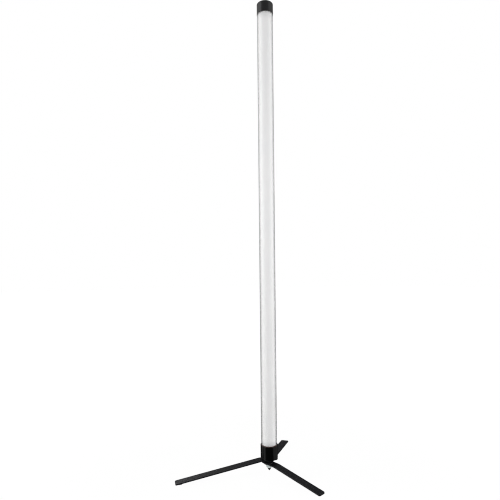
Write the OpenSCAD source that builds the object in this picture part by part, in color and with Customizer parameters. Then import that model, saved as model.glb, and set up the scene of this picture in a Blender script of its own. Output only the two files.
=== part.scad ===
// Battery LED light tube standing in the cup of a flat three-leg stand.
// The origin is on the floor, under the axis of the tube. +Z is up, and +Y points along the back leg.

/* [Light] */
// Outside diameter of the clear tube
tube_od = 38; // [36:0.5:38.5]
// Wall of the clear tube
tube_wall = 1.5; // [1.2:0.1:1.6]
// Length of clear tube seen between the cup and the top cap
tube_seen = 1034; // [700:0.5:1500]
// Outside diameter of the opal diffuser
diffuser_od = 34.4; // [34:0.1:34.8]
// Wall of the diffuser
diffuser_wall = 1; // [0.8:0.1:1]
// Outside diameter of both end caps
cap_od = 39; // [38.6:0.1:39]
// Height of the top cap with its seal
top_cap_h = 26; // [25:0.5:34]
// Distance between LEDs along a board
led_pitch = 16.5; // [12:0.5:30]
// Number of battery cells, end to end
cell_count = 5; // [2:1:6]

/* [Stand] */
// Outside diameter of the cup
cup_od = 41.4; // [41:0.2:44]
// Height of the cup
cup_h = 33.7; // [30:0.1:40]
// Width of the flat bar
leg_w = 20; // [18:1:24]
// Thickness of the flat bar
leg_t = 3; // [2.5:0.5:4]
// Thickness of the washers between the legs
spacer_t = 2; // [1:0.1:2.6]
// Height of the lowest leg's underside at the hub
hub_z = 19.8; // [18:0.2:24]
// Distance from the bolt to the bend in each leg
bend_at = 23.4; // [20:0.2:34]
// Bend of every leg below level, in degrees
leg_slope = 8.3; // [6:0.1:10]
// Overhang of a leg behind the bolt
leg_tail = 21; // [14:0.2:28]

/* [Hidden] */
$fn = 96;

// Clearances
run_gap = 0.05;
slip_gap = 0.1;

// Stand, from the floor up
bolt_r = 4;
leg_pitch = leg_t + spacer_t;
level_right = hub_z;
level_back = hub_z + leg_pitch;
level_left = hub_z + 2 * leg_pitch;
cup_z = level_left + leg_t;
cup_floor = 2.4;
rim_z = cup_z + cup_h;
cup_r = cup_od / 2;
cup_bore_r = cap_od / 2 + slip_gap;
nut_h = 6.5;
nut_af = 13;
washer_t = 1.6;
washer_r = 8;
nut_z = hub_z - washer_t - nut_h;
bolt_tip_z = nut_z - 7.5;
head_z = cup_z + cup_floor + washer_t;
head_r = 7;
head_h = 4.4;
pad_t = 3;
tip_gap = 0.4;
foot_back_of_tip = 9;
foot_len = 13;
foot_w = 15;
azimuth_left = 210.5;
azimuth_back = 90;
azimuth_right = 330.3;

// Light, from the cup up
cap_r = cap_od / 2;
low_cap_z = cup_z + cup_floor + pad_t;
low_gasket_t = 1.1;
low_flange_z = rim_z - 0.6;
tube_z0 = low_flange_z + low_gasket_t;
tube_z1 = rim_z + tube_seen;
high_gasket_t = 0.4;
high_flange_z = tube_z1 + high_gasket_t;
top_z = tube_z1 + top_cap_h;
tube_r = tube_od / 2;
diffuser_r = diffuser_od / 2;
plug_r = diffuser_r - diffuser_wall - slip_gap;
plug_len = 10;
oring_t = 1.6;
oring_squash = 0.05;
cap_wall = 2;
flange_t = 4;
bulkhead_t = 4;
pocket_t = 2;
plug_lo_end = low_flange_z + low_gasket_t + plug_len;
plug_hi_end = tube_z1 - plug_len;
spine_z0 = plug_lo_end + bulkhead_t - pocket_t;
spine_z1 = plug_hi_end - bulkhead_t + pocket_t;
spine_w = 22;
spine_r = 14.6;
spine_bore_r = 9.6;
spine_screw_at = 12.2;
screw_r = 1.5;
board_w = 14;
board_t = 1.2;
board_inset = 6;
led_w = 5;
led_t = 1.4;
led_len = spine_z1 - spine_z0 - 2 * board_inset - 2 * led_w;
led_count = floor(led_len / led_pitch) + 1;
cell_r = 9.2;
cell_l = 65;
cell_gap = 0.8;
cells_z = spine_z0 + 12;
cells_top = cells_z + cell_count * (cell_l + cell_gap) - cell_gap;
driver_l = 110;
driver_w = 15;
driver_t = 1.6;
driver_z1 = spine_z1 - 14;
driver_z0 = driver_z1 - driver_l;
wire_r = 0.8;

// Control face on the top cap
panel_r = 17;
panel_t = 2.2;
panel_z = top_z - 0.6 - panel_t;
board2_z = panel_z - 14.5;
board2_t = 1.6;
board2_r = 15.8;
button_at = [-7.5, 0];
button_r = 5;
button_travel = 0.8;
port_at = [7.5, -1];
port_size = [3.16, 8.94];
port_shell = 0.35;
port_depth = 6.8;
window_at = [7.5, 9];
window_r = 1.6;
panel_screw_at = 14;
panel_screw_az = [90, 270];
post_r = 2.6;

// Points of an arc, from angle a0 to a1 about a centre
function arc(c, r, a0, a1, n = 8) =
    [for (i = [0:n]) c + r * [cos(a0 + (a1 - a0) * i / n), sin(a0 + (a1 - a0) * i / n)]];

// Ring about the axis
module ring(r_out, r_in, z, h) {
    translate([0, 0, z])
        difference() {
            cylinder(r = r_out, h = h);
            translate([0, 0, -1])
                cylinder(r = r_in, h = h + 2);
        }
}

// Children moved to each spine screw, on one diagonal of the profile
module at_spine_screws() {
    for (az = [45, 225])
        rotate([0, 0, az])
            translate([spine_screw_at, 0, 0])
                children();
}

// Children moved to each panel screw
module at_panel_screws() {
    for (az = panel_screw_az)
        rotate([0, 0, az])
            translate([panel_screw_at, 0, 0])
                children();
}

// Rectangle with rounded corners, centred
module round_rect(size, r) {
    square([size[0] - 2 * r, size[1]], center = true);
    square([size[0], size[1] - 2 * r], center = true);
    for (x = [-1, 1], y = [-1, 1])
        translate([x * (size[0] / 2 - r), y * (size[1] / 2 - r)])
            circle(r = r);
}

// ---- Light: tubes and seals ----

module outer_tube() {
    color([0.86, 0.88, 0.9, 0.4])
        ring(tube_r, tube_r - tube_wall, tube_z0, tube_z1 - tube_z0);
}

module diffuser_tube() {
    color([0.93, 0.93, 0.93])
        ring(diffuser_r, diffuser_r - diffuser_wall, tube_z0 + 0.3, tube_z1 - tube_z0 - 0.6);
}

module upper_gasket() {
    color([0.85, 0.86, 0.85])
        ring(tube_r, plug_r + run_gap, tube_z1, high_gasket_t);
}

module lower_gasket() {
    color([0.35, 0.16, 0.11])
        ring(tube_r, plug_r + run_gap, low_flange_z, low_gasket_t);
}

// O-ring seated in the groove of a plug, z is the middle of the groove
module o_ring(z) {
    translate([0, 0, z])
        rotate_extrude()
            translate([plug_r - oring_t / 2 + oring_squash, 0])
                circle(r = oring_t / 2, $fn = 32);
}

module o_groove(z) {
    ring(plug_r + 1, plug_r - oring_t + oring_squash, z - oring_t / 2 - run_gap,
        oring_t + 2 * run_gap);
}

module top_seal() {
    color([0.12, 0.12, 0.12])
        o_ring(plug_hi_end + 4);
}

module bottom_seal() {
    color([0.12, 0.12, 0.12])
        o_ring(plug_lo_end - 4);
}

// ---- Light: end caps ----

module top_cap() {
    floor_z = high_flange_z + flange_t;
    round_r = 0.8;
    color([0.16, 0.16, 0.17])
        difference() {
            rotate_extrude()
                polygon(concat(
                    [[0, plug_hi_end], [plug_r - 0.5, plug_hi_end], [plug_r, plug_hi_end + 0.5]],
                    [[plug_r, high_flange_z], [cap_r - 0.3, high_flange_z]],
                    [[cap_r, high_flange_z + 0.3]],
                    arc([cap_r - round_r, top_z - round_r], round_r, 0, 90),
                    [[0, top_z]]
                ));
            o_groove(plug_hi_end + 4);
            // Seat of the control face, and the room below it
            translate([0, 0, panel_z])
                cylinder(r = panel_r + slip_gap, h = panel_t + 2);
            difference() {
                translate([0, 0, floor_z])
                    cylinder(r = panel_r - 1, h = panel_z - floor_z + 1);
                at_panel_screws()
                    translate([0, 0, floor_z - 1])
                        cylinder(r = post_r, h = panel_z - floor_z + 1);
            }
            // Way through for the wires
            translate([0, 0, plug_hi_end - 1])
                cylinder(r = 7, h = floor_z - plug_hi_end + 2);
            at_spine_screws()
                translate([0, 0, plug_hi_end - 1])
                    cylinder(r = screw_r + 0.2, h = floor_z - plug_hi_end + 2);
            at_panel_screws()
                translate([0, 0, panel_z - 8])
                    cylinder(r = 1.05, h = 9);
        }
}

module bottom_cap() {
    roof_z = low_flange_z - flange_t;
    color([0.13, 0.13, 0.14])
        difference() {
            rotate_extrude()
                polygon([
                    [0, roof_z],
                    [cap_r - cap_wall, roof_z],
                    [cap_r - cap_wall, low_cap_z],
                    [cap_r - 0.6, low_cap_z],
                    [cap_r, low_cap_z + 0.6],
                    [cap_r, low_flange_z - 0.3],
                    [cap_r - 0.3, low_flange_z],
                    [plug_r, low_flange_z],
                    [plug_r, plug_lo_end - 0.5],
                    [plug_r - 0.5, plug_lo_end],
                    [0, plug_lo_end]
                ]);
            o_groove(plug_lo_end - 4);
            translate([0, 0, low_flange_z + 1])
                cylinder(r = 7, h = plug_len + 2);
            at_spine_screws()
                translate([0, 0, roof_z - 1])
                    cylinder(r = screw_r + 0.2, h = plug_lo_end - roof_z + 2);
        }
}

// ---- Light: controls in the top cap ----

module top_panel() {
    color([0.12, 0.12, 0.13])
        difference() {
            translate([0, 0, panel_z])
                cylinder(r = panel_r, h = panel_t);
            translate([button_at[0], button_at[1], panel_z - 1])
                cylinder(r = button_r + slip_gap, h = panel_t + 2);
            translate([port_at[0], port_at[1], panel_z - 1])
                linear_extrude(height = panel_t + 2)
                    port_section(port_shell + slip_gap);
            translate([window_at[0], window_at[1], panel_z - 1])
                cylinder(r = window_r + run_gap, h = panel_t + 2);
            at_panel_screws()
                translate([0, 0, panel_z - 1])
                    cylinder(r = 1.2, h = panel_t + 2);
            at_panel_screws()
                translate([0, 0, panel_z + panel_t - 1.2])
                    cylinder(r1 = 1.2, r2 = 2.5, h = 1.21);
        }
}

module panel_screws() {
    color([0.2, 0.2, 0.21])
        at_panel_screws()
            difference() {
                union() {
                    translate([0, 0, panel_z - 7])
                        cylinder(r = 1, h = 7 + panel_t - 1.2);
                    translate([0, 0, panel_z + panel_t - 1.25])
                        cylinder(r1 = 1, r2 = 2.3, h = 1.2);
                }
                // Cross recess
                for (a = [0, 90])
                    rotate([0, 0, a])
                        translate([-1.4, -0.25, panel_z + panel_t - 0.75])
                            cube([2.8, 0.5, 2]);
            }
}

module power_button() {
    color([0.2, 0.2, 0.21])
        translate([button_at[0], button_at[1], 0])
            difference() {
                rotate_extrude()
                    polygon(concat(
                        [[0, panel_z - 5], [2, panel_z - 5], [2, panel_z - 2]],
                        [[button_r + 1, panel_z - 2], [button_r + 1, panel_z - 0.2]],
                        [[button_r, panel_z - 0.2]],
                        arc([button_r - 0.6, panel_z + panel_t + 0.4], 0.6, 0, 90),
                        [[0, panel_z + panel_t + 1]]
                    ));
                // Finger dish
                translate([0, 0, panel_z + panel_t + 12.4])
                    sphere(r = 12);
            }
}

switch_z = board2_z + board2_t;
switch_h = panel_z - 5 - switch_z - button_travel - 0.4;

module switch_plunger() {
    color([0.75, 0.75, 0.72])
        translate([button_at[0], button_at[1], switch_z + switch_h - 1])
            cylinder(r = 1.7, h = panel_z - 5 - switch_z - switch_h + 1 - 0.05);
}

module button_switch() {
    color([0.1, 0.1, 0.1])
        translate([button_at[0], button_at[1], switch_z])
            difference() {
                translate([-3, -3, 0])
                    cube([6, 6, switch_h]);
                translate([0, 0, switch_h - 1 - button_travel - 0.2])
                    cylinder(r = 1.7 + run_gap, h = 4);
            }
}

module control_board() {
    color([0.05, 0.3, 0.16])
        difference() {
            translate([0, 0, board2_z])
                cylinder(r = board2_r, h = board2_t);
            at_panel_screws()
                translate([0, 0, board2_z - 1])
                    cylinder(r = post_r + 0.4, h = board2_t + 2);
        }
}

// Mouth of the charging port, grown by a wall
module port_section(grow) {
    size = port_size + 2 * [grow, grow];
    round_rect(size, size[0] / 2 - 0.01);
}

// Charging port with a flat tongue, standing on the small board
module charge_port() {
    mouth_z = panel_z + panel_t;
    base_z = board2_z + board2_t;
    color([0.6, 0.61, 0.63])
        translate([port_at[0], port_at[1], 0]) {
            difference() {
                translate([0, 0, base_z])
                    linear_extrude(height = mouth_z - base_z)
                        port_section(port_shell);
                translate([0, 0, mouth_z - port_depth])
                    linear_extrude(height = port_depth + 1)
                        port_section(0);
            }
            translate([-0.35, -3.35, mouth_z - port_depth - 0.5])
                cube([0.7, 6.7, 5]);
        }
}

module status_window() {
    color([0.75, 0.2, 0.15])
        translate([window_at[0], window_at[1], board2_z + board2_t])
            cylinder(r = window_r, h = panel_z + panel_t - board2_z - board2_t);
}

// ---- Light: profile, light strips and power ----

module spine_section(grow = 0) {
    intersection() {
        square(spine_w + 2 * grow, center = true);
        circle(r = spine_r + grow);
    }
}

module led_spine() {
    color([0.72, 0.73, 0.75])
        difference() {
            translate([0, 0, spine_z0])
                linear_extrude(height = spine_z1 - spine_z0)
                    spine_section();
            translate([0, 0, spine_z0 - 1])
                cylinder(r = spine_bore_r, h = spine_z1 - spine_z0 + 2);
            for (z = [spine_z0 - 1, spine_z1 - 16])
                at_spine_screws()
                    translate([0, 0, z])
                        cylinder(r = screw_r + run_gap, h = 17);
        }
}

// Light strip on the -Y face of the profile
module led_board() {
    translate([-board_w / 2, -spine_w / 2 - board_t, spine_z0 + board_inset])
        cube([board_w, board_t, spine_z1 - spine_z0 - 2 * board_inset]);
}

module led_row() {
    z0 = (spine_z0 + spine_z1) / 2 - (led_count - 1) / 2 * led_pitch;
    for (i = [0:led_count - 1])
        translate([0, -spine_w / 2 - board_t, z0 + i * led_pitch]) {
            translate([-led_w / 2, -led_t, -led_w / 2])
                cube([led_w, led_t, led_w]);
            rotate([90, 0, 0])
                cylinder(r = 2, h = led_t + 0.3, $fn = 24);
        }
}

module led_board_front() {
    color([0.92, 0.92, 0.9])
        led_board();
}

module led_board_back() {
    color([0.92, 0.92, 0.9])
        rotate([0, 0, 180])
            led_board();
}

module leds_front() {
    color([0.95, 0.85, 0.45])
        led_row();
}

module leds_back() {
    color([0.95, 0.85, 0.45])
        rotate([0, 0, 180])
            led_row();
}

module battery_cells() {
    color([0.2, 0.42, 0.66])
        for (i = [0:cell_count - 1])
            translate([0, 0, cells_z + i * (cell_l + cell_gap)]) {
                rotate_extrude()
                    polygon([
                        [0, 0], [cell_r - 0.5, 0], [cell_r, 0.5], [cell_r, cell_l - 1.7],
                        [cell_r - 0.5, cell_l - 1.2], [4, cell_l - 1.2], [4, cell_l],
                        [0, cell_l]
                    ]);
            }
}

module battery_spacers() {
    color([0.85, 0.82, 0.7])
        for (i = [1:cell_count - 1])
            ring(cell_r, 3, cells_z + i * (cell_l + cell_gap) - cell_gap, cell_gap);
}

module battery_sleeve() {
    color([0.1, 0.3, 0.25])
        ring(cell_r + 0.25, cell_r + 0.05, cells_z - 1, cells_top - cells_z + 2);
}

module driver_board() {
    color([0.05, 0.3, 0.16])
        translate([-driver_w / 2, -driver_t / 2, driver_z0])
            cube([driver_w, driver_t, driver_l]);
}

// Parts on the control board: [x, z from the board's lower end, width, height, depth, side]
driver_chips = [
    [0, 20, 7, 7, 1.6, 1],
    [-2, 42, 9, 9, 4.5, 1],
    [1, 66, 10, 6, 1.5, 1],
    [0, 92, 9, 14, 2.2, 1],
    [0, 30, 8, 12, 1.2, -1],
    [0, 74, 6, 6, 3, -1]
];

module driver_parts() {
    color([0.12, 0.12, 0.12])
        for (c = driver_chips)
            translate([c[0] - c[2] / 2, c[5] > 0 ? driver_t / 2 : -driver_t / 2 - c[4],
                driver_z0 + c[1] - c[3] / 2])
                cube([c[2], c[4], c[3]]);
}

// Battery leads, from the top cell to the control board
module power_wires() {
    color([0.7, 0.1, 0.08])
        for (x = [-3, 3])
            translate([x, driver_t / 2 + wire_r, cells_top])
                cylinder(r = wire_r, h = driver_z0 - cells_top + 8, $fn = 24);
}

// Leads from the control board up to the board in the cap
module control_wires() {
    color([0.8, 0.75, 0.2])
        for (x = [-4, -2, 0, 2, 4])
            translate([x, -driver_t / 2 - wire_r, driver_z1 - 6])
                cylinder(r = wire_r, h = board2_z - driver_z1 + 6, $fn = 24);
}

// Ring that centres the profile inside the diffuser, with its pocket facing up
module bulkhead() {
    difference() {
        cylinder(r = plug_r, h = bulkhead_t);
        translate([0, 0, bulkhead_t - pocket_t])
            linear_extrude(height = pocket_t + 1)
                spine_section(slip_gap);
        translate([0, 0, -1])
            cylinder(r = 7, h = bulkhead_t + 2);
        at_spine_screws()
            translate([0, 0, -1])
                cylinder(r = screw_r + 0.2, h = bulkhead_t + 2);
    }
}

module top_bulkhead() {
    color([0.9, 0.9, 0.9])
        translate([0, 0, plug_hi_end])
            mirror([0, 0, 1])
                bulkhead();
}

module bottom_bulkhead() {
    color([0.9, 0.9, 0.9])
        translate([0, 0, plug_lo_end])
            bulkhead();
}

// Pan-head screw, head down on z = 0 and shank up
module spine_screw(shank) {
    difference() {
        union() {
            translate([0, 0, -2])
                cylinder(r = 2.8, h = 2);
            cylinder(r = screw_r, h = shank);
        }
        translate([0, 0, -2.5])
            cylinder(r = 1.3, h = 1.6, $fn = 6);
    }
}

module spine_screws_top() {
    shank = high_flange_z + flange_t - spine_z1 + 10;
    color([0.7, 0.7, 0.72])
        at_spine_screws()
            translate([0, 0, high_flange_z + flange_t])
                mirror([0, 0, 1])
                    spine_screw(shank);
}

module spine_screws_bottom() {
    shank = spine_z0 - low_flange_z + flange_t + 10;
    color([0.7, 0.7, 0.72])
        at_spine_screws()
            translate([0, 0, low_flange_z - flange_t])
                spine_screw(shank);
}

// ---- Stand: cup and pivot ----

module base_cup() {
    foot_r = 3;
    lip = 0.5;
    color([0.1, 0.1, 0.1])
        rotate_extrude()
            polygon(concat(
                [[bolt_r + slip_gap, cup_z]],
                arc([cup_r - foot_r, cup_z + foot_r], foot_r, -90, 0),
                arc([cup_r - lip, rim_z - lip], lip, 0, 90, 4),
                [[cup_bore_r + 0.2, rim_z], [cup_bore_r, rim_z - 0.4]],
                [[cup_bore_r, cup_z + cup_floor], [bolt_r + slip_gap, cup_z + cup_floor]]
            ));
}

module cup_pad() {
    color([0.08, 0.08, 0.08])
        ring(cup_bore_r - slip_gap, 11, cup_z + cup_floor, pad_t);
}

module bolt_washer() {
    color([0.75, 0.76, 0.78])
        ring(washer_r, bolt_r + run_gap, cup_z + cup_floor, washer_t);
}

module pivot_bolt() {
    groove = 0.35;
    pitch = 1.25;
    taper_z = nut_z - 3.4;
    color([0.5, 0.51, 0.52])
        difference() {
            rotate_extrude()
                polygon(concat(
                    [[0, bolt_tip_z], [1.4, bolt_tip_z], [bolt_r, taper_z]],
                    [for (i = [0:1]) each [
                        [bolt_r, taper_z + 0.2 + i * pitch],
                        [bolt_r - groove, taper_z + 0.2 + (i + 0.4) * pitch],
                        [bolt_r, taper_z + 0.2 + (i + 0.8) * pitch]
                    ]],
                    [[bolt_r, head_z], [head_r, head_z]],
                    arc([head_r - 3.4, head_z + head_h - 3.4], 3.4, 0, 90),
                    [[0, head_z + head_h]]
                ));
            translate([0, 0, head_z + head_h - 2.4])
                cylinder(r = 2.9, h = 4, $fn = 6);
        }
}

module leg_spacers() {
    color([0.1, 0.1, 0.1])
        for (z = [level_right, level_back])
            ring(washer_r + 1, bolt_r + run_gap, z + leg_t, spacer_t);
}

module nut_washer() {
    color([0.75, 0.76, 0.78])
        ring(washer_r, bolt_r + run_gap, hub_z - washer_t, washer_t);
}

module pivot_nut() {
    corner_r = nut_af / sqrt(3);
    chamfer_t = corner_r - nut_af / 2;
    color([0.75, 0.77, 0.76])
        difference() {
            intersection() {
                translate([0, 0, nut_z])
                    cylinder(r = corner_r, h = nut_h, $fn = 6);
                rotate_extrude()
                    polygon([
                        [0, nut_z],
                        [nut_af / 2 - 0.2, nut_z],
                        [corner_r + 0.1, nut_z + chamfer_t * 0.7],
                        [corner_r + 0.1, nut_z + nut_h - chamfer_t * 0.7],
                        [nut_af / 2 - 0.2, nut_z + nut_h],
                        [0, nut_z + nut_h]
                    ]);
            }
            translate([0, 0, nut_z - 1])
                cylinder(r = bolt_r + 0.02, h = nut_h + 2);
        }
}

// ---- Stand: legs and feet ----

// Distance from the bolt to the tip of a leg whose underside leaves the hub at this height
function reach(level) = bend_at + (level - tip_gap) / tan(leg_slope);

// Side view of a leg, bent in a short arc, as points along X and Z
module leg_side(level) {
    inner_r = 8;
    far = reach(level) + 20;
    drop = (far - bend_at) * tan(leg_slope);
    half = inner_r * tan(leg_slope / 2);
    polygon(concat(
        [[-leg_tail - 1, level]],
        arc([bend_at - half, level - inner_r], inner_r, 90, 90 - leg_slope, 5),
        [[far, level - drop]],
        [[far + leg_t * sin(leg_slope), level - drop + leg_t * cos(leg_slope)]],
        arc([bend_at - half, level - inner_r], inner_r + leg_t, 90 - leg_slope, 90, 5),
        [[-leg_tail - 1, level + leg_t]]
    ));
}

// Outline of a leg from above, round at the bolt's end and with rounded corners at the tip
module leg_outline(level) {
    tip_r = 3.5;
    tail_r = leg_w / 2 - 0.4;
    len = reach(level);
    translate([-leg_tail + tail_r, -leg_w / 2])
        square([len + leg_tail - tail_r - tip_r, leg_w]);
    translate([-leg_tail, -leg_w / 2 + tail_r])
        square([tail_r + 1, leg_w - 2 * tail_r]);
    translate([len - tip_r - 1, -leg_w / 2 + tip_r])
        square([tip_r + 1, leg_w - 2 * tip_r]);
    for (y = [-1, 1]) {
        translate([-leg_tail + tail_r, y * (leg_w / 2 - tail_r)])
            circle(r = tail_r);
        translate([len - tip_r, y * (leg_w / 2 - tip_r)])
            circle(r = tip_r);
    }
}

module leg(level) {
    difference() {
        intersection() {
            rotate([90, 0, 0])
                linear_extrude(height = leg_w + 2, center = true)
                    leg_side(level);
            linear_extrude(height = level + leg_t + 1)
                leg_outline(level);
        }
        translate([0, 0, level - 1])
            cylinder(r = bolt_r + run_gap, h = leg_t + 2);
    }
}

// Wedge-shaped rubber pad under a tip, level on the floor
module foot(level) {
    tip = reach(level);
    intersection() {
        translate([tip - foot_back_of_tip, 0, 0])
            linear_extrude(height = 6)
                round_rect([foot_len, foot_w], 3);
        rotate([90, 0, 0])
            linear_extrude(height = foot_w + 2, center = true)
                polygon([
                    [tip - 40, 0],
                    [tip, 0],
                    [tip, tip_gap],
                    [tip - 40, tip_gap + 40 * tan(leg_slope)]
                ]);
    }
}

module leg_left() {
    color([0.18, 0.18, 0.18])
        rotate([0, 0, azimuth_left])
            leg(level_left);
}

module leg_back() {
    color([0.15, 0.15, 0.16])
        rotate([0, 0, azimuth_back])
            leg(level_back);
}

module leg_right() {
    color([0.15, 0.15, 0.17])
        rotate([0, 0, azimuth_right])
            leg(level_right);
}

module foot_left() {
    color([0.06, 0.06, 0.06])
        rotate([0, 0, azimuth_left])
            foot(level_left);
}

module foot_back() {
    color([0.06, 0.06, 0.06])
        rotate([0, 0, azimuth_back])
            foot(level_back);
}

module foot_right() {
    color([0.06, 0.06, 0.06])
        rotate([0, 0, azimuth_right])
            foot(level_right);
}

outer_tube();
diffuser_tube();
top_cap();
bottom_cap();
upper_gasket();
lower_gasket();
top_seal();
bottom_seal();
top_panel();
panel_screws();
power_button();
switch_plunger();
button_switch();
control_board();
charge_port();
status_window();
led_spine();
led_board_front();
led_board_back();
leds_front();
leds_back();
battery_cells();
battery_spacers();
battery_sleeve();
driver_board();
driver_parts();
power_wires();
control_wires();
top_bulkhead();
bottom_bulkhead();
spine_screws_top();
spine_screws_bottom();
base_cup();
cup_pad();
bolt_washer();
pivot_bolt();
leg_spacers();
nut_washer();
pivot_nut();
leg_left();
leg_back();
leg_right();
foot_left();
foot_back();
foot_right();
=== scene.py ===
"""Looks of the LED light tube and its three-leg stand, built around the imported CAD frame."""

import math

import bmesh
import bpy
from mathutils import Matrix, Vector


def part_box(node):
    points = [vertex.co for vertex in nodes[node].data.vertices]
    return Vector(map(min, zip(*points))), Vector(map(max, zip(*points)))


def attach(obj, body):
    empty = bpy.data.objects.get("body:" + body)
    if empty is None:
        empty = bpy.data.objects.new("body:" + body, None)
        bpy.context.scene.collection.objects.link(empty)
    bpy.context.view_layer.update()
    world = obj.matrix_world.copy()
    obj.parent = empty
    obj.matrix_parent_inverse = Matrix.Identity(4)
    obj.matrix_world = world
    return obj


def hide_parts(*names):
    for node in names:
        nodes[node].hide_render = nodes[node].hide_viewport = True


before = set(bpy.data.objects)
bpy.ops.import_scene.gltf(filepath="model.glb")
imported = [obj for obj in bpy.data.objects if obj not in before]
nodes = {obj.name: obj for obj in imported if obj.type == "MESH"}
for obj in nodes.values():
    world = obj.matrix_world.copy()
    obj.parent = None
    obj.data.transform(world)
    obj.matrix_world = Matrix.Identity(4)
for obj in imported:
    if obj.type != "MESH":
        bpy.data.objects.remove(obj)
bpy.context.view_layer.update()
scene = bpy.context.scene
MM = 0.001

# ---- Places that the frame gives ----

tube_lo, tube_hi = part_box("outer_tube")
nut_lo, nut_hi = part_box("pivot_nut")
bolt_lo, bolt_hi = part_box("pivot_bolt")
washer_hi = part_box("bolt_washer")[1]
leds_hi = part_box("leds_back")[1]

# ---- Camera: the viewpoint, seen from above, is turned from the line of the back leg ----

VIEW_TURN = math.radians(16.0)
VIEW_DISTANCE = 1.0375
VIEW_SIDE = -0.042
VIEW_HEIGHT = 0.4828
VIEW_ROLL = math.radians(-0.573)
LENS = 30.95
LENS_RISE = 0.0436

turn = Matrix.Rotation(VIEW_TURN, 4, "Z")
TO_CAMERA = turn @ Vector((0, -1, 0))
TO_RIGHT = turn @ Vector((1, 0, 0))


def from_camera(towards, right, up):
    """A place from metres towards the camera, to its right and up."""
    return TO_CAMERA * towards + TO_RIGHT * right + Vector((0, 0, up))


def add_camera():
    data = bpy.data.cameras.new("camera")
    data.lens = LENS
    data.shift_y = LENS_RISE
    camera = bpy.data.objects.new("camera", data)
    scene.collection.objects.link(camera)
    place = from_camera(VIEW_DISTANCE, VIEW_SIDE, VIEW_HEIGHT)
    level = turn @ Matrix.Rotation(math.radians(90), 4, "X")
    camera.matrix_world = Matrix.Translation(place) @ level @ Matrix.Rotation(VIEW_ROLL, 4, "Z")
    scene.camera = camera


# ---- Node graphs ----


class Graph:
    """Builds one node tree. An input is a value, or an output socket to link from."""

    def __init__(self, tree):
        self.tree = tree
        tree.nodes.clear()

    def node(self, kind, inputs=None, **settings):
        """One node, with its settings, and with inputs by name or by number."""
        made = self.tree.nodes.new(kind)
        for name, value in settings.items():
            setattr(made, name, value)
        for name, value in (inputs or {}).items():
            self.feed(made.inputs[name], value)
        return made

    def feed(self, socket, value):
        """Links an input to an output socket, or sets it to a value."""
        if isinstance(value, bpy.types.NodeSocket):
            self.tree.links.new(value, socket)
        elif socket.type == "RGBA" and len(value) == 3:
            socket.default_value = (*value, 1)
        else:
            socket.default_value = value

    def point(self):
        """Place on the object, in metres."""
        return self.node("ShaderNodeTexCoord").outputs["Object"]

    def along(self, axis):
        """One coordinate of the place on the object, in metres."""
        return self.split(self.point())[axis]

    def math(self, operation, a, b=0.0):
        return self.node("ShaderNodeMath", {0: a, 1: b}, operation=operation).outputs[0]

    def vector(self, operation, a, b=(0, 0, 0)):
        made = self.node("ShaderNodeVectorMath", {0: a, 1: b}, operation=operation)
        return made.outputs["Value" if operation in ("DOT_PRODUCT", "LENGTH") else "Vector"]

    def split(self, vector):
        return self.node("ShaderNodeSeparateXYZ", {0: vector}).outputs

    def noise(self, size, detail=3.0, stretch=(1, 1, 1), rough=0.5):
        """Noise with features of about this size in metres."""
        place = self.vector("MULTIPLY", self.point(), tuple(s / size for s in stretch))
        inputs = {"Vector": place, "Scale": 1.0, "Detail": detail, "Roughness": rough}
        return self.node("ShaderNodeTexNoise", inputs).outputs["Fac"]

    def cells(self, size, feature="F1"):
        """Distances in a pattern of cells of about this size in metres."""
        place = self.vector("MULTIPLY", self.point(), (1 / size,) * 3)
        made = self.node("ShaderNodeTexVoronoi", {"Vector": place, "Scale": 1.0}, feature=feature)
        return made.outputs["Distance"]

    def fit(self, value, low, high, out_low=0.0, out_high=1.0, smooth=False):
        """Maps low..high to out_low..out_high, clamped."""
        inputs = {0: value, 1: low, 2: high, 3: out_low, 4: out_high}
        kind = "SMOOTHSTEP" if smooth else "LINEAR"
        return self.node("ShaderNodeMapRange", inputs, interpolation_type=kind).outputs[0]

    def ramp(self, value, stops):
        """Grey values between stops of (place, grey)."""
        made = self.node("ShaderNodeValToRGB", {0: value})
        band = made.color_ramp
        for place, grey in stops[:2]:
            band.elements[stops.index((place, grey))].position = place
        while len(band.elements) < len(stops):
            band.elements.new(1.0)
        for element, (place, grey) in zip(band.elements, stops):
            element.position = place
            element.color = (grey, grey, grey, 1)
        return made.outputs[0]

    def mix(self, share, a, b):
        """Colour a at share 0, and b at share 1."""
        made = self.node("ShaderNodeMix", {"Factor": share}, data_type="RGBA")
        self.feed(made.inputs[6], a)
        self.feed(made.inputs[7], b)
        return made.outputs[2]

    def bump(self, height, painted_wall_shade, over=None):
        """A normal from a height of 0..1, which stands for this depth in metres."""
        inputs = {"Height": height, "Distance": painted_wall_shade, "Strength": 1.0}
        if over is not None:
            inputs["Normal"] = over
        return self.node("ShaderNodeBump", inputs).outputs[0]

    def blend(self, share, a, b):
        """Shader a at share 0, and b at share 1."""
        return self.node("ShaderNodeMixShader", {0: share, 1: a, 2: b}).outputs[0]

    def surface(self, **inputs):
        """A Principled surface. An underscore in a name stands for a space."""
        named = {name.replace("_", " "): value for name, value in inputs.items()}
        return self.node("ShaderNodeBsdfPrincipled", named).outputs[0]


def new_material(name, build):
    """A material whose surface is what build(graph) returns."""
    material = bpy.data.materials.new(name)
    material.use_nodes = True
    graph = Graph(material.node_tree)
    output = graph.node("ShaderNodeOutputMaterial")
    graph.feed(output.inputs["Surface"], build(graph))
    return material


# ---- Finishes shared by several materials ----


def worn_edges(g, radius, strength=1.0):
    """About 1 on sharp edges and 0 on flat faces."""
    rounded = g.node("ShaderNodeBevel", {"Radius": radius}, samples=4).outputs[0]
    true = g.node("ShaderNodeNewGeometry").outputs["Normal"]
    bend = g.math("SUBTRACT", 1.0, g.vector("DOT_PRODUCT", rounded, true))
    return g.math("MULTIPLY", g.fit(bend, 0.02, 0.25), strength)


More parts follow.
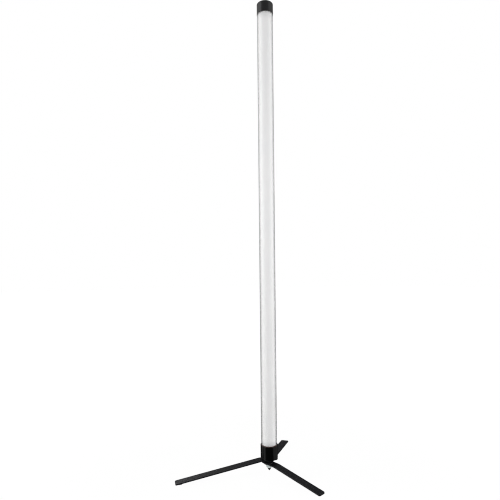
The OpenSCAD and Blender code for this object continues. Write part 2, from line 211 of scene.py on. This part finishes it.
def moulded(g, colour, rough, grain=0.25 * MM, dust=0.25):
    """Injection-moulded plastic: fine spark texture, soft flow marks and a trace of dust."""
    flow = g.noise(14 * MM, 2)
    speckle = g.noise(0.9 * MM, 4)
    light = tuple(min(1.0, c * 1.5 + 0.004) for c in colour)
    tone = g.mix(g.fit(flow, 0.35, 0.7), colour, tuple(c * 0.8 for c in colour))
    tone = g.mix(g.fit(speckle, 0.55, 0.8, 0, dust), tone, light)
    both = g.math("ADD", g.math("MULTIPLY", speckle, 0.5), g.math("MULTIPLY", flow, 0.5))
    roughness = g.fit(both, 0.3, 0.7, rough - 0.05, rough + 0.07)
    normal = g.bump(g.cells(grain), 0.012 * MM, g.bump(flow, 0.03 * MM))
    return {"Base_Color": tone, "Roughness": roughness, "Normal": normal}


def rubbery(g, colour, rough=0.7):
    """Silicone or rubber: matt, slightly bloomed, with a soft pebbled skin."""
    bloom = g.noise(3 * MM, 4)
    pale = tuple(c * 0.7 + 0.03 for c in colour)
    tone = g.mix(g.fit(bloom, 0.45, 0.8, 0, 0.5), colour, pale)
    roughness = g.fit(bloom, 0.3, 0.7, rough - 0.08, rough + 0.08)
    normal = g.bump(g.noise(0.35 * MM, 3), 0.02 * MM)
    return {"Base_Color": tone, "Roughness": roughness, "Normal": normal,
            "Sheen_Weight": 0.15, "Sheen_Roughness": 0.5}


def plated(g, colour, rough, stretch=(1, 1, 1)):
    """Plated metal: cloudy tone, fine tool marks and brighter rubbed edges."""
    cloud = g.noise(2.5 * MM, 4)
    marks = g.noise(0.25 * MM, 2, stretch)
    dull = tuple(c * 0.78 for c in colour)
    tone = g.mix(g.fit(cloud, 0.35, 0.7), colour, dull)
    tone = g.mix(worn_edges(g, 0.3 * MM, 0.6), tone, (0.86, 0.87, 0.86))
    roughness = g.fit(marks, 0.3, 0.7, rough - 0.07, rough + 0.1)
    return {"Base_Color": tone, "Metallic": 1.0, "Roughness": roughness,
            "Normal": g.bump(marks, 0.006 * MM)}


# ---- Materials ----


# How far in from the clear tube's ends its wall starts to go dark, and where it is fully dark: a
# painted reflection of the dark caps in the wall
TOP_DARK_START = 2.9 * MM
TOP_DARK_FULL = 1.7 * MM
LOW_DARK_START = 1.8 * MM
LOW_DARK_FULL = 1.0 * MM

# How far in from the tube's ends the diffuser gets painted shade from the caps
TOP_PAINTED_SHADE = 15 * MM
LOW_PAINTED_SHADE = 12 * MM

# The tube's outer face is within this of its outer radius
OUTER_SKIN = 0.5 * MM

# How much of the clear wall's painted shade shows, by the cosine between its face and the line of
# sight
WALL_SEEN = [(0.0, 0.95), (0.25, 0.92), (0.4, 0.7), (0.5, 0.45), (0.6, 0.2), (0.7, 0.0)]


def outer_face(g, geometry):
    """1 on the front of the tube's outer face, and 0 on its bore and on backs."""
    radius = g.vector("LENGTH", g.vector("MULTIPLY", g.point(), (1, 1, 0)))
    outside = g.math("GREATER_THAN", radius, tube_hi.x - OUTER_SKIN)
    return g.math("MULTIPLY", outside, g.math("SUBTRACT", 1.0, geometry["Backfacing"]))


def wall_share(g, geometry, streak, top_end, low_end):
    """How much of the wall shows: more towards each side, with a sharper start near its two ends."""
    level_view = g.vector("NORMALIZE", g.vector("MULTIPLY", geometry["Incoming"], (1, 1, 0)))
    across = g.math("ABSOLUTE", g.vector("DOT_PRODUCT", geometry["Normal"], level_view))
    wall = g.math("MULTIPLY", g.ramp(across, WALL_SEEN), g.fit(streak, 0.2, 0.8, 0.88, 1.0))
    wall = g.mix(top_end, wall, g.fit(across, 0.42, 0.5, 1.0, 0.0))
    return g.mix(low_end, wall, g.fit(across, 0.15, 0.3, 1.0, 0.0))


def clear_tube(g):
    """Clear extruded tube: it shows the diffuser behind it, and its wall darkens towards each side
    with painted shade that stands in for refraction.
    """
    geometry = g.node("ShaderNodeNewGeometry").outputs
    front = outer_face(g, geometry)
    streak = g.noise(1.2 * MM, 3, (1, 1, 0.004))
    normal = g.bump(streak, 0.01 * MM)
    z = g.along("Z")
    top_end = g.fit(z, tube_hi.z - TOP_DARK_START, tube_hi.z - TOP_DARK_FULL)
    low_end = g.fit(z, tube_lo.z + LOW_DARK_START, tube_lo.z + LOW_DARK_FULL)

    # Painted shade in place of refraction: the wall's grey is darker towards the bottom, and
    # near-black at both ends as a painted reflection of the dark caps
    painted_wall_shade = g.mix(g.fit(z, tube_lo.z, tube_hi.z), (0.2, 0.21, 0.215), (0.46, 0.47, 0.48))
    painted_wall_shade = g.mix(g.math("MAXIMUM", top_end, low_end), painted_wall_shade, (0.012, 0.012, 0.012))
    edge = g.surface(Base_Color=painted_wall_shade, Roughness=0.12, Normal=normal)
    clear = g.node("ShaderNodeBsdfTransparent", {"Color": (0.991, 0.99, 0.99)}).outputs[0]
    shown = g.math("MULTIPLY", front, wall_share(g, geometry, streak, top_end, low_end))
    body = g.blend(shown, clear, edge)

    smear = g.fit(g.noise(22 * MM, 4, (1, 1, 0.3)), 0.35, 0.75, 0.03, 0.09)
    gloss_look = {"Color": (1, 1, 1), "Roughness": smear, "Normal": normal}
    gloss = g.node("ShaderNodeBsdfGlossy", gloss_look).outputs[0]
    mirror = g.node("ShaderNodeFresnel", {"IOR": 1.45, "Normal": normal}).outputs[0]
    shine = g.fit(top_end, 0.0, 1.0, 0.8, 0.16)
    mirrored = g.math("MULTIPLY", g.math("MULTIPLY", mirror, front), shine)
    return g.blend(mirrored, body, gloss)


def opal_diffuser(g):
    """Frosted opal plastic with faint lines along it, with painted shade near both ends, under the
    caps.
    """
    line = g.noise(0.8 * MM, 3, (1, 1, 0.003))
    cloud = g.noise(45 * MM, 3)
    tone = g.mix(g.fit(cloud, 0.3, 0.7), (0.84, 0.845, 0.85), (0.87, 0.87, 0.865))
    tone = g.mix(g.fit(line, 0.3, 0.7, 0, 0.35), tone, (0.80, 0.805, 0.81))
    z = g.along("Z")
    # Painted shade near both ends, where the caps shade the diffuser
    top_shade = g.fit(z, tube_hi.z - TOP_PAINTED_SHADE, tube_hi.z, 0.0, 0.5)
    low_shade = g.fit(z, tube_lo.z + LOW_PAINTED_SHADE, tube_lo.z, 0.0, 0.75)
    tone = g.mix(g.math("MAXIMUM", top_shade, low_shade), tone, (0.5, 0.505, 0.51))
    roughness = g.fit(g.noise(1.5 * MM, 4), 0.3, 0.7, 0.42, 0.58)
    normal = g.bump(line, 0.01 * MM, g.bump(g.noise(0.2 * MM, 2), 0.006 * MM))
    return g.surface(Base_Color=tone, Roughness=roughness, Normal=normal,
                     Subsurface_Weight=0.2, Subsurface_Radius=(1, 1, 1), Subsurface_Scale=1.5 * MM)


def cap_plastic(g):
    return g.surface(Specular_IOR_Level=0.45, **moulded(g, (0.0195, 0.02, 0.02), 0.24))


def cup_black(g):
    return g.surface(**moulded(g, (0.0018, 0.0018, 0.0017), 0.16, dust=0.1))


def leg_powder_coat(g):
    """Satin powder coat: orange peel, fine grit, and edges where the coat is thin and rubbed."""
    peel = g.noise(0.9 * MM, 2)
    grit = g.cells(0.22 * MM)
    patch = g.noise(30 * MM, 3)
    scuff = g.noise(5 * MM, 5, rough=0.65)
    tone = g.mix(g.fit(patch, 0.3, 0.7), (0.006, 0.006, 0.0075), (0.009, 0.009, 0.0105))
    tone = g.mix(g.fit(grit, 0.0, 0.35, 0.35, 0.0), tone, (0.02, 0.02, 0.022))
    edge = g.math("MULTIPLY", worn_edges(g, 0.7 * MM), g.fit(scuff, 0.4, 0.62))
    tone = g.mix(g.math("MULTIPLY", edge, 0.55), tone, (0.05, 0.05, 0.053))
    both = g.math("ADD", g.math("MULTIPLY", scuff, 0.6), g.math("MULTIPLY", peel, 0.4))
    roughness = g.fit(both, 0.3, 0.7, 0.38, 0.52)
    normal = g.bump(peel, 0.035 * MM, g.bump(grit, 0.012 * MM))
    return g.surface(Base_Color=tone, Roughness=roughness, Normal=normal)


def gasket_black(g):
    return g.surface(**rubbery(g, (0.022, 0.022, 0.022)))


def gasket_clear(g):
    """Translucent silicone."""
    return g.surface(**rubbery(g, (0.72, 0.73, 0.72), 0.5))


def gasket_brown(g):
    return g.surface(**rubbery(g, (0.09, 0.042, 0.032), 0.5))


def rubber(g):
    return g.surface(**rubbery(g, (0.018, 0.018, 0.018), 0.75))


def spacer_black(g):
    return g.surface(**moulded(g, (0.016, 0.016, 0.017), 0.45))


def switch_plastic(g):
    return g.surface(**moulded(g, (0.045, 0.045, 0.048), 0.38))


def bulkhead_white(g):
    return g.surface(**moulded(g, (0.8, 0.8, 0.78), 0.45, dust=0.1))


def chip(g):
    return g.surface(**moulded(g, (0.02, 0.02, 0.021), 0.55, 0.12 * MM))


def insulator(g):
    """Fish paper: fibrous and matt."""
    fibre = g.noise(0.5 * MM, 4, (1, 1, 0.2))
    tone = g.mix(g.fit(fibre, 0.35, 0.7), (0.12, 0.2, 0.17), (0.2, 0.29, 0.25))
    return g.surface(Base_Color=tone, Roughness=g.fit(fibre, 0.3, 0.7, 0.7, 0.9),
                     Normal=g.bump(fibre, 0.03 * MM))


def zinc(g):
    """Bright zinc plate, dull enough to look pale rather than mirrored."""
    finish = plated(g, (0.85, 0.94, 0.92), 0.42)
    finish["Metallic"] = 0.2
    return g.surface(**finish)


def bolt_steel(g):
    """Zinc with painted shade: darker than the nut, and darkest on the thread and at the tip below the
    nut, with a grease-like mottle.
    """
    # Painted shade: the bolt is a darker zinc than the nut, and near-black with a mottle on the thread
    # and tip below the nut
    shade_mottle = g.noise(1.1 * MM, 4)
    low = g.fit(g.along("Z"), nut_lo.z + 1 * MM, nut_lo.z - 1 * MM)
    share = g.math("MULTIPLY", g.fit(shade_mottle, 0.25, 0.6, 0.75, 1.0), low)
    finish = plated(g, (0.62, 0.64, 0.63), 0.42)
    finish["Base_Color"] = g.mix(share, finish["Base_Color"], (0.06, 0.058, 0.055))
    finish["Metallic"] = 0.4
    return g.surface(**finish)


def port_metal(g):
    return g.surface(**plated(g, (0.55, 0.56, 0.58), 0.3, (1, 1, 0.1)))


def black_screw(g):
    """Black oxide: dark and slightly oily, with metal showing on rubbed edges."""
    cloud = g.noise(0.8 * MM, 4)
    tone = g.mix(g.fit(cloud, 0.35, 0.7), (0.035, 0.035, 0.037), (0.06, 0.058, 0.056))
    tone = g.mix(worn_edges(g, 0.15 * MM, 0.7), tone, (0.3, 0.3, 0.3))
    return g.surface(Base_Color=tone, Metallic=0.8, Roughness=g.fit(cloud, 0.3, 0.7, 0.3, 0.48),
                     Normal=g.bump(cloud, 0.01 * MM))


def spine_aluminium(g):
    """Extruded and anodised: long die lines along the profile."""
    line = g.noise(0.35 * MM, 3, (1, 1, 0.002))
    cloud = g.noise(60 * MM, 3)
    tone = g.mix(g.fit(line, 0.3, 0.7), (0.6, 0.61, 0.63), (0.7, 0.71, 0.73))
    tone = g.mix(g.fit(cloud, 0.35, 0.7, 0, 0.3), tone, (0.5, 0.51, 0.53))
    return g.surface(Base_Color=tone, Metallic=0.95, Roughness=g.fit(line, 0.3, 0.7, 0.3, 0.46),
                     Normal=g.bump(line, 0.02 * MM))


def circuit_green(g):
    """Green solder mask over copper tracks, with small bare pads."""
    track = g.cells(3.2 * MM, "DISTANCE_TO_EDGE")
    copper = g.fit(track, 0.04, 0.1, 1.0, 0.0)
    pad = g.math("LESS_THAN", g.cells(2.4 * MM), 0.16)
    tone = g.mix(copper, (0.008, 0.09, 0.04), (0.02, 0.17, 0.07))
    tone = g.mix(pad, tone, (0.6, 0.58, 0.5))
    metal = g.math("MULTIPLY", pad, 0.9)
    roughness = g.fit(g.noise(2 * MM), 0.3, 0.7, 0.22, 0.36)
    return g.surface(Base_Color=tone, Metallic=metal, Roughness=roughness,
                     Normal=g.bump(copper, 0.03 * MM))


def board_white(g):
    """White solder mask, with thin grey tracks along the strip."""
    from_middle = g.math("ABSOLUTE", g.along("X"))
    rail = g.math("ABSOLUTE", g.math("SUBTRACT", from_middle, 5.2 * MM))
    track = g.fit(rail, 0.25 * MM, 0.4 * MM, 1.0, 0.0)
    tone = g.mix(track, (0.84, 0.84, 0.82), (0.74, 0.74, 0.71))
    tone = g.mix(g.fit(g.noise(6 * MM, 4), 0.5, 0.8, 0, 0.3), tone, (0.78, 0.76, 0.7))
    return g.surface(Base_Color=tone, Roughness=g.fit(g.noise(1.5 * MM), 0.3, 0.7, 0.28, 0.42),
                     Normal=g.bump(track, 0.03 * MM))


def led(g):
    """White package with a yellow phosphor window, which stands a little proud."""
    out = g.math("ABSOLUTE", g.along("Y"))
    window = g.math("GREATER_THAN", out, leds_hi.y - 0.15 * MM)
    grain = g.noise(0.3 * MM, 3)
    yellow = g.mix(g.fit(grain, 0.3, 0.7), (0.75, 0.5, 0.07), (0.85, 0.6, 0.12))
    tone = g.mix(window, (0.85, 0.85, 0.82), yellow)
    return g.surface(Base_Color=tone, Roughness=g.fit(grain, 0.3, 0.7, 0.25, 0.4),
                     Normal=g.bump(grain, 0.01 * MM))


def cell_wrap(g):
    """Shrink wrap, with bare steel at both ends of each cell."""
    facing = g.split(g.node("ShaderNodeNewGeometry").outputs["Normal"])
    end = g.math("GREATER_THAN", g.math("ABSOLUTE", facing["Z"]), 0.7)
    wrinkle = g.noise(1.4 * MM, 3, (1, 1, 0.15))
    tone = g.mix(g.fit(wrinkle, 0.3, 0.7), (0.04, 0.14, 0.32), (0.06, 0.19, 0.4))
    tone = g.mix(end, tone, (0.6, 0.6, 0.6))
    return g.surface(Base_Color=tone, Metallic=end, Roughness=g.fit(wrinkle, 0.3, 0.7, 0.24, 0.38),
                     Normal=g.bump(wrinkle, 0.05 * MM))


def wire_skin(g, colour):
    """Soft insulation, a little uneven."""
    skin = g.noise(0.6 * MM, 3, (1, 1, 0.2))
    tone = g.mix(g.fit(skin, 0.3, 0.75), colour, tuple(c * 0.75 for c in colour))
    return g.surface(Base_Color=tone, Roughness=g.fit(skin, 0.3, 0.7, 0.4, 0.55),
                     Normal=g.bump(skin, 0.02 * MM))


def wire_red(g):
    return wire_skin(g, (0.5, 0.03, 0.02))


def wire_yellow(g):
    return wire_skin(g, (0.68, 0.5, 0.05))


def status_window(g):
    """Tinted clear plastic, a little cloudy."""
    cloud = g.noise(0.6 * MM, 3)
    tone = g.mix(g.fit(cloud, 0.3, 0.7), (0.42, 0.04, 0.03), (0.55, 0.08, 0.06))
    return g.surface(Base_Color=tone, Roughness=g.fit(cloud, 0.3, 0.7, 0.12, 0.22),
                     Transmission_Weight=0.3, Normal=g.bump(cloud, 0.01 * MM))


# Each is named after the slot of the frame that it finishes
FINISHES = [
    clear_tube, opal_diffuser, cap_plastic, cup_black, leg_powder_coat, gasket_black, gasket_clear,
    gasket_brown, rubber, spacer_black, switch_plastic, bulkhead_white, chip, insulator, zinc,
    port_metal, black_screw, spine_aluminium, circuit_green, board_white, led, cell_wrap,
    wire_red, wire_yellow, status_window,
]


def paint_nodes():
    """Gives every CAD node the procedural material of its slot."""
    looks = {build.__name__: new_material(build.__name__ + "_look", build) for build in FINISHES}
    for node in nodes.values():
        for slot in node.material_slots:
            slot.material = looks[slot.material.name]


# ---- Edges ----

# Corners closer than this are welded, and faces that lie flatter than this are joined
WELD_WITHIN = 0.002 * MM
FLAT_WITHIN = math.radians(0.5)
# An edge that bends more than this is hard, and gets rounded
HARD_ANGLE = math.radians(35)

# The width of the rounded edges on each node that gets them
SOFT_EDGES = {
    "leg_left": 0.4 * MM,
    "leg_back": 0.4 * MM,
    "leg_right": 0.4 * MM,
    "foot_left": 0.3 * MM,
    "foot_back": 0.3 * MM,
    "foot_right": 0.3 * MM,
    "nut_washer": 0.15 * MM,
    "bolt_washer": 0.15 * MM,
    "pivot_nut": 0.15 * MM,
    "leg_spacers": 0.15 * MM,
}


def soften(name, width):
    """Rounds the hard edges of a CAD node."""
    node = nodes[name]
    weld = node.modifiers.new("weld", "WELD")
    weld.merge_threshold = WELD_WITHIN
    flat = node.modifiers.new("flat", "DECIMATE")
    flat.decimate_type = "DISSOLVE"
    flat.angle_limit = FLAT_WITHIN
    bevel = node.modifiers.new("bevel", "BEVEL")
    bevel.width = width
    bevel.segments = 2
    bevel.limit_method = "ANGLE"
    bevel.angle_limit = HARD_ANGLE
    bevel.harden_normals = True
    bevel.use_clamp_overlap = False


# ---- The pivot bolt, with a true thread and a hexagon socket ----

BOLT_R = 4 * MM
BOLT_TIP_R = 1.4 * MM
BOLT_CONE_TOP = nut_lo.z - 3.4 * MM
THREAD_PITCH = 1.25 * MM
THREAD_DEPTH = 0.6 * MM
THREAD_TOP = nut_hi.z + 2 * MM
HEAD_DOME = 3.4 * MM
SOCKET_R = 2.9 * MM
SOCKET_DEPTH = 2.4 * MM
SOCKET_END_R = SOCKET_R * 0.4
CHAMFER = 0.2 * MM
# How the thread's depth grows from its crest: its slope, and what the crest's flat takes off
FLANK_SLOPE = 1.15
CREST_FLAT = 0.12
# How finely the bolt's skin is divided
ROWS_PER_TURN = 10
STEPS_AROUND = 72
# Edges of the skin that bend more than this are shaded sharp
SHARP_ANGLE = math.radians(38)


def thread_ring(height):
    """A right-hand thread, which fades into the shank at its top and follows the cone at the tip."""
    cone = BOLT_TIP_R + (BOLT_R - BOLT_TIP_R) * (height - bolt_lo.z) / (BOLT_CONE_TOP - bolt_lo.z)
    painted_wall_shade = THREAD_DEPTH * min(1.0, max(0.0, (THREAD_TOP - height) / THREAD_PITCH))

    def radius(angle):
        turns = height / THREAD_PITCH - angle / (2 * math.pi)
        from_crest = abs(turns - round(turns)) * 2
        cut = painted_wall_shade * min(1.0, max(0.0, FLANK_SLOPE * from_crest - CREST_FLAT))
        return max(BOLT_TIP_R, min(cone, BOLT_R) - cut)
    return radius


def round_ring(radius):
    return lambda angle: radius


def hexagon_ring(corner):
    """A hexagon with its corners at this radius."""
    flat = corner * math.cos(math.radians(30))
    return lambda angle: flat / math.cos(angle % math.radians(60) - math.radians(30))


def skin_through(name, rings):
    """One closed skin through rings of (radius at an angle, height), from the tip to the socket."""
    skin = bmesh.new()
    angles = [2 * math.pi * i / STEPS_AROUND for i in range(STEPS_AROUND)]
    loops = []
    for radius_at, height in rings:
        spots = [(radius_at(a) * math.cos(a), radius_at(a) * math.sin(a), height) for a in angles]
        loops.append([skin.verts.new(spot) for spot in spots])
    for low, high in zip(loops, loops[1:]):
        for i in range(STEPS_AROUND):
            j = (i + 1) % STEPS_AROUND
            skin.faces.new((low[i], low[j], high[j], high[i]))
    skin.faces.new(loops[0][::-1])
    skin.faces.new(loops[-1])
    mesh = bpy.data.meshes.new(name)
    skin.to_mesh(mesh)
    skin.free()
    mesh.shade_smooth()
    mesh.set_sharp_from_angle(angle=SHARP_ANGLE)
    piece = bpy.data.objects.new(name, mesh)
    scene.collection.objects.link(piece)
    return piece


def thread_rings():
    """From the tip, which is flat and chamfered, to the top of the thread."""
    rows = math.ceil((THREAD_TOP - bolt_lo.z) / (THREAD_PITCH / ROWS_PER_TURN))
    step = (THREAD_TOP - bolt_lo.z) / rows
    heights = [bolt_lo.z + step * row for row in range(1, rows + 1)]
    tip = (round_ring(BOLT_TIP_R - CHAMFER), bolt_lo.z)
    return [tip] + [(thread_ring(height), height) for height in heights]


def head_rings():
    """From the shank, out along the underside of the head, and over its dome."""
    head_r = bolt_hi.x
    under = washer_hi.z
    rings = [
        (round_ring(BOLT_R), under),
        (round_ring(head_r - CHAMFER), under),
        (round_ring(head_r), under + CHAMFER),
    ]
    for lean in range(0, 91, 9):
        out = HEAD_DOME * math.cos(math.radians(lean))
        up = HEAD_DOME * math.sin(math.radians(lean))
        rings.append((round_ring(head_r - HEAD_DOME + out), bolt_hi.z - HEAD_DOME + up))
    return rings


def socket_rings():
    """Down the hexagon socket, from its chamfer to its floor."""
    top = bolt_hi.z
    return [
        (hexagon_ring(SOCKET_R + CHAMFER), top),
        (hexagon_ring(SOCKET_R), top - CHAMFER),
        (hexagon_ring(SOCKET_R), top - SOCKET_DEPTH + CHAMFER),
        (hexagon_ring(SOCKET_END_R), top - SOCKET_DEPTH),
    ]


def add_bolt():
    """Domed socket-head bolt: its head is in the cup, and its thread comes out below the nut."""
    bolt = skin_through("threaded_bolt", thread_rings() + head_rings() + socket_rings())
    bolt.data.materials.append(new_material("bolt_look", bolt_steel))
    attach(bolt, "stand")
    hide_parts("pivot_bolt")


# ---- Studio ----


# What shines on glossy parts, as (degrees to the right of the camera, level): wide soft strips at both
# sides, and dark at the camera and behind the object. One ring is above level and one is below.
HIGH_LIGHT = [
    (-180, 0.08), (-162, 0.12), (-148, 0.38), (-130, 0.48), (-103, 0.82), (-90, 0.95), (-73, 1.3),
    (-58, 1.3), (-53, 0.09), (44, 0.09), (50, 0.5), (72, 0.6), (90, 0.48), (113, 0.36), (138, 0.12),
    (165, 0.08),
]
LOW_LIGHT = [
    (-180, 0.02), (-128, 0.02), (-118, 0.1), (-102, 0.28), (-80, 0.36), (-58, 0.44), (-50, 0.02),
    (48, 0.02), (55, 0.26), (68, 0.27), (84, 0.23), (104, 0.17), (130, 0.12), (145, 0.02),
]

# The two rings blend over this band of heights, to either side of level
LEVEL_BAND = 0.17

# Lamps: metres from the tube towards the camera and to its right, width, and power in watts
LAMP_LEVEL = 0.6
LAMP_TALL = 1.2
LAMPS = {
    "left_wall": (0.2, -1.6, 1.6, 16.0),
    "right_wall": (0.2, 1.6, 1.6, 19.8),
    "front_wall": (1.7, 0.0, 2.0, 23.2),
    "back_wall": (-1.7, 0.0, 2.0, 20.0),
}
KICKER_TOWARDS = -1.5
KICKER_RIGHT = -1.0
KICKER_LEVEL = 0.7
KICKER_WIDE = 0.5
KICKER_TALL = 0.4
KICKER_POWER = 2.0

FLOOR_R = 12.0
# The floor's own light: near the object, and from where it is pure white
FLOOR_NEAR = 0.3
FLOOR_NEAR_LIGHT = 0.972
FLOOR_FAR = 1.2


def turned(degrees):
    """The place on a ramp of an angle to the right of the camera."""
    return degrees / 360 + 0.5


def add_world():
    """White to the camera. For light and reflections: bright to both sides, dark at the camera."""
    world = bpy.data.worlds.new("studio")
    world.use_nodes = True
    scene.world = world
    g = Graph(world.node_tree)
    way = g.node("ShaderNodeTexCoord").outputs["Generated"]
    towards = g.vector("DOT_PRODUCT", way, tuple(TO_CAMERA))
    right = g.vector("DOT_PRODUCT", way, tuple(TO_RIGHT))
    angle = g.fit(g.math("ARCTAN2", right, towards), -math.pi, math.pi)
    height = g.split(way)[2]
    high = g.ramp(angle, [(turned(a), level) for a, level in HIGH_LIGHT])
    low = g.ramp(angle, [(turned(a), level) for a, level in LOW_LIGHT])
    light = g.mix(g.fit(height, -LEVEL_BAND, LEVEL_BAND), low, high)
    studio = g.node("ShaderNodeBackground", {"Color": (1, 1, 1), "Strength": light})
    white = g.node("ShaderNodeBackground", {"Color": (1, 1, 1), "Strength": 1.0})
    seen = g.node("ShaderNodeLightPath").outputs["Is Camera Ray"]
    output = g.node("ShaderNodeOutputWorld")
    g.feed(output.inputs["Surface"], g.blend(seen, studio.outputs[0], white.outputs[0]))


def floor_white(g):
    """Pale floor, bright enough to look white where no shadow falls."""
    soft = g.noise(0.4, 2)
    tone = g.mix(g.fit(soft, 0.3, 0.7), (0.025, 0.025, 0.025), (0.03, 0.03, 0.03))
    matt = g.node("ShaderNodeBsdfDiffuse", {"Color": tone}).outputs[0]
    away = g.vector("LENGTH", g.point())
    level = g.fit(away, FLOOR_NEAR, FLOOR_FAR, FLOOR_NEAR_LIGHT, 1.0, smooth=True)
    glow = g.node("ShaderNodeEmission", {"Color": (1, 1, 1), "Strength": level}).outputs[0]
    return g.node("ShaderNodeAddShader", {0: matt, 1: glow}).outputs[0]


def add_floor():
    """A wide round floor, level with the undersides of the feet."""
    mesh = bpy.data.meshes.new("floor")
    disc = bmesh.new()
    bmesh.ops.create_circle(disc, cap_ends=True, segments=96, radius=FLOOR_R)
    disc.to_mesh(mesh)
    disc.free()
    floor = bpy.data.objects.new("floor", mesh)
    scene.collection.objects.link(floor)
    mesh.materials.append(new_material("floor_white", floor_white))
    floor.visible_diffuse = False
    floor.visible_glossy = False
    floor.visible_shadow = False


def add_softbox(name, place, width, height, power, aim):
    """A rectangular lamp that faces a point."""
    data = bpy.data.lights.new(name, "AREA")
    data.shape = "RECTANGLE"
    data.size = width
    data.size_y = height
    data.energy = power
    lamp = bpy.data.objects.new(name, data)
    scene.collection.objects.link(lamp)
    lamp.location = place
    lamp.rotation_mode = "QUATERNION"
    lamp.rotation_quaternion = (place - aim).to_track_quat("Z", "Y")
    lamp.visible_camera = False
    return lamp


def add_lights():
    """Matt light only: what shines on glossy parts is the studio round them."""
    middle = from_camera(0, 0, LAMP_LEVEL)
    for name, (towards, right, width, power) in LAMPS.items():
        place = from_camera(towards, right, LAMP_LEVEL)
        lamp = add_softbox(name, place, width, LAMP_TALL, power, middle)
        lamp.visible_glossy = False


def add_kicker():
    """A small lamp from behind, which gives a sheen to the left leg alone."""
    place = from_camera(KICKER_TOWARDS, KICKER_RIGHT, KICKER_LEVEL)
    kicker = add_softbox("leg_kicker", place, KICKER_WIDE, KICKER_TALL, KICKER_POWER, Vector())
    kicker.visible_diffuse = False
    lit = bpy.data.collections.new("lit_by_kicker")
    lit.objects.link(nodes["leg_left"])
    kicker.light_linking.receiver_collection = lit


# ---- The scene ----

# How wide the picture's pixels blur into each other
PIXEL_FILTER = 1.1

paint_nodes()
for name, width in SOFT_EDGES.items():
    soften(name, width)
add_bolt()
add_floor()
add_world()
add_lights()
add_kicker()
add_camera()
scene.view_settings.view_transform = "Standard"
scene.cycles.filter_width = PIXEL_FILTER
